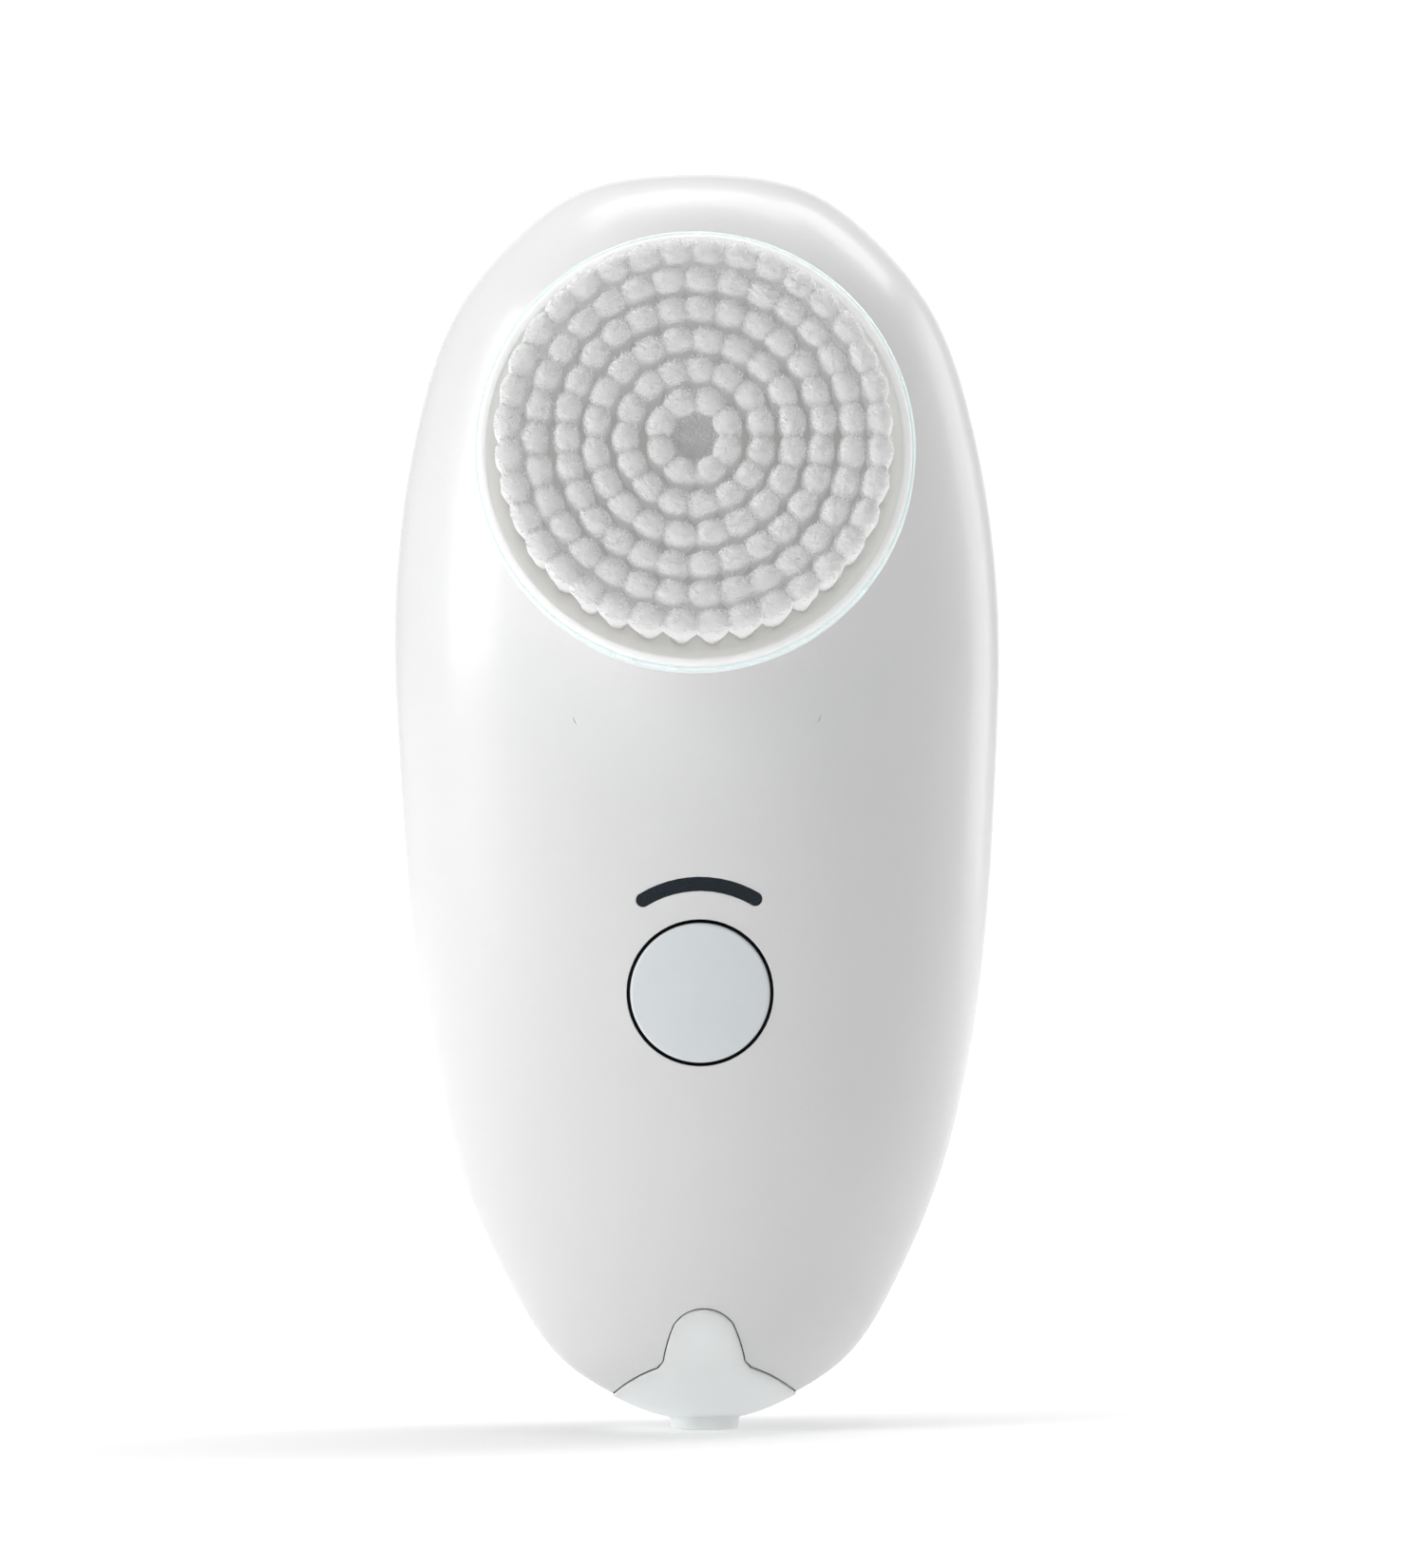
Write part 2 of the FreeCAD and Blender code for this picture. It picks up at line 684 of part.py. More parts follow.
def gearbox_plan(grow, w0, w1):
    # Two round ends joined by their common tangents.
    r1 = GEARBOX_TOP_R + grow
    r2 = GEARBOX_LOW_R + grow
    v2 = motor_centre()
    slope = math.asin((r1 - r2) / abs(v2))
    c = math.cos(slope)
    s = math.sin(slope)
    a = Vector(r1 * c, -r1 * s, w0)
    b = Vector(r2 * c, v2 - r2 * s, w0)
    a2 = Vector(-a.x, a.y, w0)
    b2 = Vector(-b.x, b.y, w0)
    outline = Part.Wire([
        Part.Arc(a, Vector(0, r1, w0), a2).toShape(),
        Part.makeLine(a2, b2),
        Part.Arc(b2, Vector(0, v2 - r2, w0), b).toShape(),
        Part.makeLine(b, a),
    ])
    return Part.Face(outline).extrude(Vector(0, 0, w1 - w0))


def gearbox_cover():
    plate = gearbox_plan(0, COVER_BACK, COVER_FRONT - 0.05)
    ears = [rod_w(x, v, EAR_R, COVER_BACK, COVER_FRONT) for x, v in EARS]
    cover = plate.fuse(ears)
    cuts = [rod_w(0, 0, 3.6, -12, -5)]
    cuts += [rod_w(x, v, GEARBOX_SCREW_R + 0.1, -12, -5) for x, v in EARS]
    cuts.append(rod_w(0, compound_centre(), PIN_R, -12, -7.6))
    return on_drive(cover.cut(cuts).removeSplitter())


def gearbox_housing():
    block = gearbox_plan(0, PLATE_BACK, COVER_BACK)
    cavity = gearbox_plan(-GEARBOX_WALL, PLATE_FRONT, COVER_BACK + 1)
    ears = [rod_w(x, v, EAR_R, -13.0, COVER_BACK) for x, v in EARS]
    housing = block.fuse(ears).cut(cavity)
    v = motor_centre()
    cuts = [rod_w(0, 0, 3.6, -20, -15)]
    cuts.append(rod_w(0, compound_centre(), PIN_R, -17.8, -15))
    cuts.append(rod_w(0, v, 3.1, -20, -15))
    for x in (-6.5, 6.5):
        cuts.append(rod_w(x, v, 1.0, -20, -15))
    cuts += [rod_w(x, u, GEARBOX_SCREW_R + 0.1, -20, -5) for x, u in EARS]
    return on_drive(housing.cut(cuts).removeSplitter())


def gearbox_screws():
    screws = []
    for x, v in EARS:
        shank = rod_w(x, v, GEARBOX_SCREW_R, -13.0, COVER_FRONT + 2.8)
        head = rod_w(x, v, 1.8, -14.4, -13.0)
        slot = box(x - 1.2, x + 1.2, v - 0.22, v + 0.22, -15, -13.9)
        cross = box(x - 0.22, x + 0.22, v - 1.2, v + 1.2, -15, -13.9)
        screws.append(on_drive(shank.fuse(head).cut([slot, cross])))
    return Part.makeCompound(screws)


def shaft_bushings():
    front = rod_w(0, 0, 3.6, COVER_BACK, COVER_FRONT - 0.05).cut(rod_w(0, 0, SHAFT_R + RUN_GAP, -20, 0))
    rear = rod_w(0, 0, 3.6, PLATE_BACK, PLATE_FRONT).cut(rod_w(0, 0, SHAFT_R + RUN_GAP, -20, 0))
    return Part.makeCompound([on_drive(front), on_drive(rear)])


def shaft_seal():
    outer = rod_w(0, 0, 4.4, HUB_WELL_FLOOR, HUB_WELL_FLOOR + HUB_WELL_FLOOR_THICK)
    return on_drive(outer.cut(rod_w(0, 0, SHAFT_R + RUN_GAP, -20, 0)))


def motor_outline(grow, w0, w1):
    v = motor_centre()
    can = rod_w(0, v, MOTOR_R + grow, w0, w1)
    half = MOTOR_HALF_FLAT + grow
    return can.common(box(-20, 20, v - half, v + half, w0 - 1, w1 + 1))


def motor_can():
    v = motor_centre()
    back = PLATE_BACK - MOTOR_LENGTH
    can = motor_outline(0, back + 2.0, PLATE_BACK)
    hollow = motor_outline(-0.6, back + 1.0, PLATE_BACK - 1.0)
    nose = rod_w(0, v, 3.0, PLATE_BACK, PLATE_BACK + 1.6)
    cuts = [hollow, rod_w(0, v, MOTOR_SHAFT_R + RUN_GAP, -40, 0)]
    for x in (-6.5, 6.5):
        cuts.append(rod_w(x, v, 0.8, -20, PLATE_BACK + 1))
    return on_drive(can.fuse(nose).cut(cuts).removeSplitter())


def motor_end_cap():
    v = motor_centre()
    back = PLATE_BACK - MOTOR_LENGTH
    cap = motor_outline(0, back, back + 2.0)
    hub = rod_w(0, v, 3.0, back - 1.0, back)
    pocket = rod_w(0, v, MOTOR_SHAFT_R + RUN_GAP, back - 0.4, back + 5)
    return on_drive(cap.fuse(hub).cut(pocket).removeSplitter())


def motor_terminals():
    v = motor_centre()
    back = PLATE_BACK - MOTOR_LENGTH
    tabs = []
    for x in (-5.5, 5.5):
        tabs.append(on_drive(box(x - 1.0, x + 1.0, v - 0.2, v + 0.2, back - 2.2, back)))
    return Part.makeCompound(tabs)


def motor_magnets():
    v = motor_centre()
    back = PLATE_BACK - MOTOR_LENGTH
    ring = motor_outline(-0.6, back + 4.0, PLATE_BACK - 2.5).cut(rod_w(0, v, 7.4, -50, 0))
    magnets = []
    for solid in ring.Solids:
        if solid.Volume > 1.0:
            magnets.append(on_drive(solid))
    return Part.makeCompound(magnets)


def motor_rotor():
    # Three wound poles on the motor shaft.
    v = motor_centre()
    back = PLATE_BACK - MOTOR_LENGTH
    w0 = back + 5.0
    w1 = PLATE_BACK - 3.5
    core = rod_w(0, v, 2.2, w0, w1)
    parts = [core]
    for index in range(3):
        pole = box(-0.9, 0.9, 0, 5.6, w0, w1)
        shoe = rod_w(0, 0, 6.4, w0, w1).cut(rod_w(0, 0, 5.4, w0 - 1, w1 + 1))
        shoe = shoe.common(box(-3.6, 3.6, 0, 10, w0, w1))
        coil = box(-2.0, 2.0, 2.6, 4.6, w0 + 0.6, w1 - 0.6)
        piece = pole.fuse([shoe, coil])
        piece.rotate(Vector(0, 0, 0), Vector(0, 0, 1), index * 120)
        piece.translate(Vector(0, v, 0))
        parts.append(piece)
    commutator = rod_w(0, v, 1.9, back + 2.6, w0)
    parts.append(commutator)
    bore = rod_w(0, v, MOTOR_SHAFT_R, -60, 0)
    return on_drive(fused(parts).cut(bore))


def motor_shaft():
    back = PLATE_BACK - MOTOR_LENGTH
    return on_drive(rod_w(0, motor_centre(), MOTOR_SHAFT_R, back - 0.2, -12.4))


def motor_screws():
    v = motor_centre()
    screws = []
    for x in (-6.5, 6.5):
        shank = rod_w(x, v, 0.8, PLATE_BACK - 0.9, PLATE_FRONT)
        head = rod_w(x, v, 1.5, PLATE_FRONT, PLATE_FRONT + 0.9)
        slot = box(x - 1.0, x + 1.0, v - 0.2, v + 0.2, PLATE_FRONT + 0.4, PLATE_FRONT + 2)
        screws.append(on_drive(shank.fuse(head).cut(slot)))
    return Part.makeCompound(screws)


def lead(points, radius):
    path = Part.BSplineCurve()
    path.interpolate(points)
    wire = Part.Wire(path.toShape())
    start = path.tangent(path.FirstParameter)[0]
    circle = Part.Wire(Part.makeCircle(radius, points[0], start))
    return wire.makePipeShell([circle], True, True)


def motor_leads():
    # Two insulated wires from the motor terminals, over the battery, to the main board.
    back = PLATE_BACK - MOTOR_LENGTH - 1.4
    end_y = BOARD_FRONT + BOARD_THICK + 2.3
    left = [drive_placement().multVec(Vector(-5.5, motor_centre() - 0.5, back))]
    left.append(Vector(-5.7, 18.3, 65.5))
    left.append(Vector(-6.4, 15.0, 62.6))
    left.append(Vector(-8.6, 7.0, 62.2))
    left.append(Vector(-10.4, 0.5, 59.8))
    left.append(Vector(-9.9, -2.6, 55.8))
    left.append(Vector(-9.3, -3.3, 53.0))
    left.append(Vector(-9.2, end_y, 52.0))
    right = [drive_placement().multVec(Vector(5.5, motor_centre() - 0.5, back))]
    right.append(Vector(5.2, 18.3, 65.5))
    right.append(Vector(3.0, 15.0, 62.6))
    right.append(Vector(-2.6, 9.4, 62.7))
    right.append(Vector(-8.4, 0.8, 61.6))
    right.append(Vector(-8.0, -2.8, 57.0))
    right.append(Vector(-6.9, -3.5, 53.2))
    right.append(Vector(-6.8, end_y, 52.0))
    return Part.makeCompound([lead(left, LEAD_R), lead(right, LEAD_R)])


def brush_cup():
    cup_r = CUP_R
    lip = CUP_LIP
    inner = cup_r - lip
    points = [
        Vector(0, 0, HUB_END),
        Vector(HUB_R, 0, HUB_END),
        Vector(HUB_R, 0, CUP_BACK),
        Vector(cup_r - 2.2, 0, CUP_BACK),
    ]
    edges = [Part.makeLine(points[i], points[i + 1]) for i in range(3)]
    sweep_mid = Vector(cup_r - 0.55, 0, CUP_BACK + 0.75)
    side_low = Vector(cup_r, 0, CUP_BACK + 2.4)
    side_high = Vector(cup_r, 0, CUP_RIM - lip / 2)
    crest = Vector(cup_r - lip / 2, 0, CUP_RIM)
    inner_high = Vector(inner, 0, CUP_RIM - lip / 2)
    inner_low = Vector(inner, 0, CUP_FLOOR + 1.0)
    floor_bend = Vector(inner - 0.3, 0, CUP_FLOOR + 0.3)
    floor_edge = Vector(inner - 1.0, 0, CUP_FLOOR)
    floor_mid = Vector(0, 0, CUP_FLOOR)
    edges.append(Part.Arc(points[3], sweep_mid, side_low).toShape())
    edges.append(Part.makeLine(side_low, side_high))
    edges.append(Part.Arc(side_high, crest, inner_high).toShape())
    edges.append(Part.makeLine(inner_high, inner_low))
    edges.append(Part.Arc(inner_low, floor_bend, floor_edge).toShape())
    edges.append(Part.makeLine(floor_edge, floor_mid))
    edges.append(Part.makeLine(floor_mid, points[0]))
    cup = Part.Face(Part.Wire(edges)).revolve(Vector(0, 0, 0), Vector(0, 0, 1), 360)
    cuts = [d_section(SHAFT_R + 0.08, SHAFT_FLAT + 0.08, HUB_END - 1, 0.6)]
    cuts.append(rod_w(0, 0, MAGNET_R, 0.6, 2.2))
    for radius, count in TUFT_RINGS:
        for x, v in ring_points(radius, count):
            if math.hypot(x, v) > MAGNET_R:
                cuts.append(rod_w(x, v, TUFT_BASE_R, CUP_FLOOR - 0.8, CUP_FLOOR + 1))
    return on_drive(cup.cut(cuts))


def ring_points(radius, count):
    points = []
    for index in range(count):
        angle = 2 * math.pi * (index + 0.5) / count
        points.append((radius * math.cos(angle), radius * math.sin(angle)))
    return points


def tuft_bundle():
    # A bundle that spreads a little towards a rounded tip.
    root = rod_w(0, 0, TUFT_BASE_R, CUP_FLOOR - 0.8, CUP_FLOOR)
    spread = Part.makeCone(TUFT_BASE_R, TUFT_TIP_R, TUFT_TIP - CUP_FLOOR, Vector(0, 0, CUP_FLOOR))
    tuft = root.fuse(spread)
    tip_edges = [e for e in tuft.Edges if not e.Degenerated and e.CenterOfMass.z > TUFT_TIP - 0.01]
    return tuft.makeFillet(TUFT_ROUND, tip_edges)


def tuft_ring(radius, count):
    bundle = tuft_bundle()
    tufts = []
    for x, v in ring_points(radius, count):
        tuft = bundle.copy()
        tuft.translate(Vector(x, v, 0))
        tufts.append(on_drive(tuft))
    return Part.makeCompound(tufts)


def rim_bumper():
    # A thin soft band pressed around the outside of the cup.
    ring = rod_w(0, 0, CUP_R + BUMPER_THICK, CUP_BACK + 2.6, CUP_RIM - 0.6)
    edges = [e for e in ring.Edges if e.Curve.TypeId == "Part::GeomCircle"]
    ring = ring.makeFillet(0.3, edges)
    return on_drive(ring.cut(rod_w(0, 0, CUP_R, -1, 20)))


def hub_magnet():
    return on_drive(rod_w(0, 0, MAGNET_R, 0.7, 2.2))


def anchor_post(grow):
    # The barbed post that holds the plug strap in the front wall.
    z = 10.4
    shank = rod_y(0, z, 1.1 + grow, -13.0, -5.6 + grow)
    return shank


def plug_anchor():
    skin = front_egg(-PLUG_PROUD).common(bell_prism(0)).common(above(HINGE_Z + STRAP_SPLIT))
    skin = skin.cut(front_egg(PLUG_SKIN))
    post = anchor_post(0).common(front_egg(0.5))
    barb = Part.makeCone(1.1, 1.9, 1.0, Vector(0, -5.6 - 0.9, 10.4), Vector(0, -1, 0))
    barb = barb.common(front_egg(WALL + 0.02))
    return skin.fuse([post, barb]).removeSplitter()


def plug_web():
    band = box(-20, 20, -40, 10, HINGE_Z - 0.2, HINGE_Z + STRAP_SPLIT)
    strap = front_egg(-PLUG_PROUD).common(bell_prism(0)).common(band)
    return strap.cut(front_egg(PLUG_SKIN))


def stadium(half_x, half_y, z0, z1):
    # A plate with straight long sides and round ends.
    flat = half_x - half_y
    face = Part.Face(Part.Wire([
        Part.makeLine(Vector(-flat, half_y, z0), Vector(flat, half_y, z0)),
        Part.Arc(Vector(flat, half_y, z0), Vector(half_x, 0, z0), Vector(flat, -half_y, z0)).toShape(),
        Part.makeLine(Vector(flat, -half_y, z0), Vector(-flat, -half_y, z0)),
        Part.Arc(Vector(-flat, -half_y, z0), Vector(-half_x, 0, z0), Vector(-flat, half_y, z0)).toShape(),
    ]))
    return face.extrude(Vector(0, 0, z1 - z0))


def port_plug():
    split = HINGE_Z - 0.2
    top = END_FACE_Z - 0.08
    front = front_egg(-PLUG_PROUD).common(bell_prism(0)).common(below(split))
    front = front.cut(front_egg(PLUG_SKIN).common(above(top)))
    rear = rear_egg(-PLUG_PROUD).common(below(top))
    nub = stadium(3.55, 2.5, 0, 2.6)
    foot_edges = [e for e in nub.Edges if e.CenterOfMass.z < 0.01]
    nub = nub.makeFillet(0.4, foot_edges)
    lip = box(-3.9, 3.9, WELL_FRONT + 0.75, WELL_REAR - 0.3, END_FACE_Z - 0.3, END_FACE_Z + 0.95)
    uprights = [e for e in lip.Edges if abs(e.tangentAt(e.FirstParameter).z) > 0.9]
    lip = lip.makeFillet(0.6, uprights)
    return front.fuse([rear, nub, lip]).removeSplitter()


NODES = {
    "front_shell": front_shell,
    "rear_shell": rear_shell,
    "shell_gasket": shell_gasket,
    "case_screws": case_screws,
    "screw_plugs": screw_plugs,
    "power_button": power_button,
    "button_seal": trimmed_seal,
    "switch_plunger": switch_plunger,
    "tact_switch": tact_switch,
    "indicator_window": indicator_window,
    "indicator_leds": indicator_leds,
    "circuit_board": circuit_board,
    "board_chips": board_chips,
    "lead_connectors": lead_connectors,
    "board_screws": board_screws,
    "battery_cell": battery_cell,
    "battery_sleeve": battery_sleeve,
    "battery_tabs": battery_tabs,
    "battery_cradle": battery_cradle,
    "usb_socket": usb_socket,
    "usb_contacts": usb_contacts,
    "charge_board": charge_board,
    "charge_ribbon": charge_ribbon,
    "output_shaft": output_shaft,
    "output_gear": output_gear,
    "compound_gear": compound_gear,
    "gear_pin": gear_pin,
    "gearbox_cover": gearbox_cover,
    "gearbox_housing": gearbox_housing,
    "gearbox_screws": gearbox_screws,
    "shaft_bushings": shaft_bushings,
    "shaft_seal": shaft_seal,
    "motor_can": motor_can,
    "motor_end_cap": motor_end_cap,
    "motor_terminals": motor_terminals,
    "motor_magnets": motor_magnets,
    "motor_rotor": motor_rotor,
    "motor_shaft": motor_shaft,
    "motor_pinion": motor_pinion,
    "motor_screws": motor_screws,
    "motor_leads": motor_leads,
    "brush_cup": brush_cup,
    "rim_bumper": rim_bumper,
    "hub_magnet": hub_magnet,
    "plug_anchor": plug_anchor,
    "plug_web": plug_web,
    "port_plug": port_plug,
}


def main():
    os.makedirs("parts", exist_ok=True)
    for name, make in NODES.items():
        make().exportStep("parts/" + name + ".step")
    for number, (radius, count) in enumerate(TUFT_RINGS, 1):
        tuft_ring(radius, count).exportStep("parts/tuft_ring_" + str(number) + ".step")


main()
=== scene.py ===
import json
import math
import bpy
import numpy as np
from mathutils import Matrix, Vector


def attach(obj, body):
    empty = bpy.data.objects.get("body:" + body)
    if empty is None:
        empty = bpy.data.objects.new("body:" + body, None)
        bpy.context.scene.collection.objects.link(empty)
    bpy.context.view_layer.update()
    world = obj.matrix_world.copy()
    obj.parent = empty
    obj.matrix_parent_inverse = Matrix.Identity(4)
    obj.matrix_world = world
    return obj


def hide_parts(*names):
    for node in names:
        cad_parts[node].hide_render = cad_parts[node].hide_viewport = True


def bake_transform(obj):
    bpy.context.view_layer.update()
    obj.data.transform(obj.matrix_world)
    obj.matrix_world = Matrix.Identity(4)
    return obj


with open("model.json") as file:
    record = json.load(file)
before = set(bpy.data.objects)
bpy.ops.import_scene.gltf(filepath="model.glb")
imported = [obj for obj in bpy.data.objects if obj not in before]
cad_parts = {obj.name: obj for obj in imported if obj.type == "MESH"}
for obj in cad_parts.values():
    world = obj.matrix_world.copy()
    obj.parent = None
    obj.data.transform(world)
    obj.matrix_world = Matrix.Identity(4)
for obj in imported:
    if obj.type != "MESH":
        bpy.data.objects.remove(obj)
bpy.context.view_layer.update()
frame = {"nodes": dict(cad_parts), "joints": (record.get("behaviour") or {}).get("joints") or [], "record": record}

record = frame["record"]
nodes = frame["nodes"]
rng = np.random.default_rng(7)

# ---------------------------------------------------------------- drive axis
spin = next(j for j in frame["joints"] if j["name"] == "brush_spin")
HEAD = Vector(spin["pos_m"])
AXIS = Vector(spin["axis"]).normalized()
UP = AXIS.cross(Vector((1, 0, 0))).normalized()
MM = 0.001


def on_drive(points):
    """Local points (x across, v up the handle, w out of the front), in mm, to the row frame."""
    p = np.asarray(points, float) * MM
    x = np.array((1.0, 0.0, 0.0))
    return np.array(HEAD) + p[:, :1] * x + p[:, 1:2] * np.array(UP) + p[:, 2:3] * np.array(AXIS)


# ---------------------------------------------------------------- materials
def node_material(name):
    m = bpy.data.materials.new(name)
    m.use_nodes = True
    m.node_tree.nodes.clear()
    return m, m.node_tree


def noise(tree, coords, scale, detail=3.0, rough=0.55, distort=0.0):
    n = tree.nodes.new("ShaderNodeTexNoise")
    n.inputs["Scale"].default_value = scale
    n.inputs["Detail"].default_value = detail
    n.inputs["Roughness"].default_value = rough
    n.inputs["Distortion"].default_value = distort
    tree.links.new(coords, n.inputs["Vector"])
    return n


def ramp(tree, factor, stops):
    r = tree.nodes.new("ShaderNodeValToRGB")
    r.color_ramp.elements[0].position = stops[0][0]
    r.color_ramp.elements[0].color = (*stops[0][1], 1)
    r.color_ramp.elements[1].position = stops[-1][0]
    r.color_ramp.elements[1].color = (*stops[-1][1], 1)
    for position, colour in stops[1:-1]:
        e = r.color_ramp.elements.new(position)
        e.color = (*colour, 1)
    tree.links.new(factor, r.inputs["Fac"])
    return r


def spread(tree, factor, low, high):
    r = tree.nodes.new("ShaderNodeMapRange")
    r.inputs["From Min"].default_value = 0.3
    r.inputs["From Max"].default_value = 0.7
    r.inputs["To Min"].default_value = low
    r.inputs["To Max"].default_value = high
    tree.links.new(factor, r.inputs["Value"])
    return r


def shade(colour, k):
    return tuple(min(1.0, max(0.0, c * k)) for c in colour)


def paint_gap_shade(tree, colour, reach):
    """Painted shade: darken a colour towards near black where another surface stands closer than the reach, as
    inside a narrow gap.
    """
    near = tree.nodes.new("ShaderNodeAmbientOcclusion")
    near.samples = 6
    near.inputs["Distance"].default_value = reach
    amount = tree.nodes.new("ShaderNodeMapRange")
    amount.inputs["From Min"].default_value = 0.35
    amount.inputs["From Max"].default_value = 0.80
    tree.links.new(near.outputs["AO"], amount.inputs["Value"])
    # The painted shade colour, near black, is mixed in by the occlusion amount.
    mix = tree.nodes.new("ShaderNodeMix")
    mix.data_type = "RGBA"
    mix.inputs[6].default_value = (0.004, 0.004, 0.004, 1)
    tree.links.new(amount.outputs["Result"], mix.inputs[0])
    tree.links.new(colour, mix.inputs[7])
    return mix.outputs[2]


def finish(name, colour, rough=(0.35, 0.45), metal=0.0, vary=0.06, vary_scale=60.0, grain=None,
           coat=0.0, sss=0.0, sss_radius=(0.002, 0.002, 0.002), through=0.0, ior=1.46, edge=0.0,
           streak=None, spec=0.5, glow=0.0, gap_shade_reach=0.0):
    """A procedural surface: mottled colour, uneven roughness and fine grain in the normal, with optional painted
    shade in narrow gaps and an optional painted glow.
    """
    m, t = node_material(name)
    out = t.nodes.new("ShaderNodeOutputMaterial")
    b = t.nodes.new("ShaderNodeBsdfPrincipled")
    t.links.new(b.outputs["BSDF"], out.inputs["Surface"])
    tc = t.nodes.new("ShaderNodeTexCoord")
    coords = tc.outputs["Object"]
    if streak:
        mp = t.nodes.new("ShaderNodeMapping")
        mp.inputs["Scale"].default_value = streak
        t.links.new(coords, mp.inputs["Vector"])
        coords = mp.outputs["Vector"]
    broad = noise(t, coords, vary_scale, 4.0, 0.6, 0.2)
    darker = shade(colour, 1 - vary)
    lighter = shade(colour, 1 + vary)
    c = ramp(t, broad.outputs["Fac"], [(0.25, darker), (0.5, colour), (0.75, lighter)])
    surface_colour = c.outputs["Color"]
    if gap_shade_reach:
        surface_colour = paint_gap_shade(t, surface_colour, gap_shade_reach)
    t.links.new(surface_colour, b.inputs["Base Color"])
    uneven = noise(t, coords, vary_scale * 2.7, 5.0, 0.65)
    r = spread(t, uneven.outputs["Fac"], rough[0], rough[1])
    t.links.new(r.outputs["Result"], b.inputs["Roughness"])
    b.inputs["Metallic"].default_value = metal
    b.inputs["IOR"].default_value = ior
    b.inputs["Specular IOR Level"].default_value = spec
    b.inputs["Coat Weight"].default_value = coat
    b.inputs["Coat Roughness"].default_value = 0.12
    if sss:
        b.inputs["Subsurface Weight"].default_value = sss
        b.inputs["Subsurface Radius"].default_value = (1.0, 1.0, 1.0)
        b.inputs["Subsurface Scale"].default_value = sss_radius[0]
    if through:
        b.inputs["Transmission Weight"].default_value = through
    # Painted light: an optional glow in the surface's own colour, standing in for light passing through a
    # translucent part.
    if glow:
        t.links.new(c.outputs["Color"], b.inputs["Emission Color"])
        b.inputs["Emission Strength"].default_value = glow
    last = None
    if grain:
        scale, strength, distance = grain
        g = noise(t, tc.outputs["Object"] if not streak else coords, scale, 2.0, 0.5)
        bump = t.nodes.new("ShaderNodeBump")
        bump.inputs["Strength"].default_value = strength
        bump.inputs["Distance"].default_value = distance
        t.links.new(g.outputs["Fac"], bump.inputs["Height"])
        last = bump
    if edge:
        bevel = t.nodes.new("ShaderNodeBevel")
        bevel.samples = 4
        bevel.inputs["Radius"].default_value = edge
        if last is not None:
            t.links.new(bevel.outputs["Normal"], last.inputs["Normal"])
        else:
            last = bevel
    if last is not None:
        t.links.new(last.outputs["Normal"], b.inputs["Normal"])
    return m
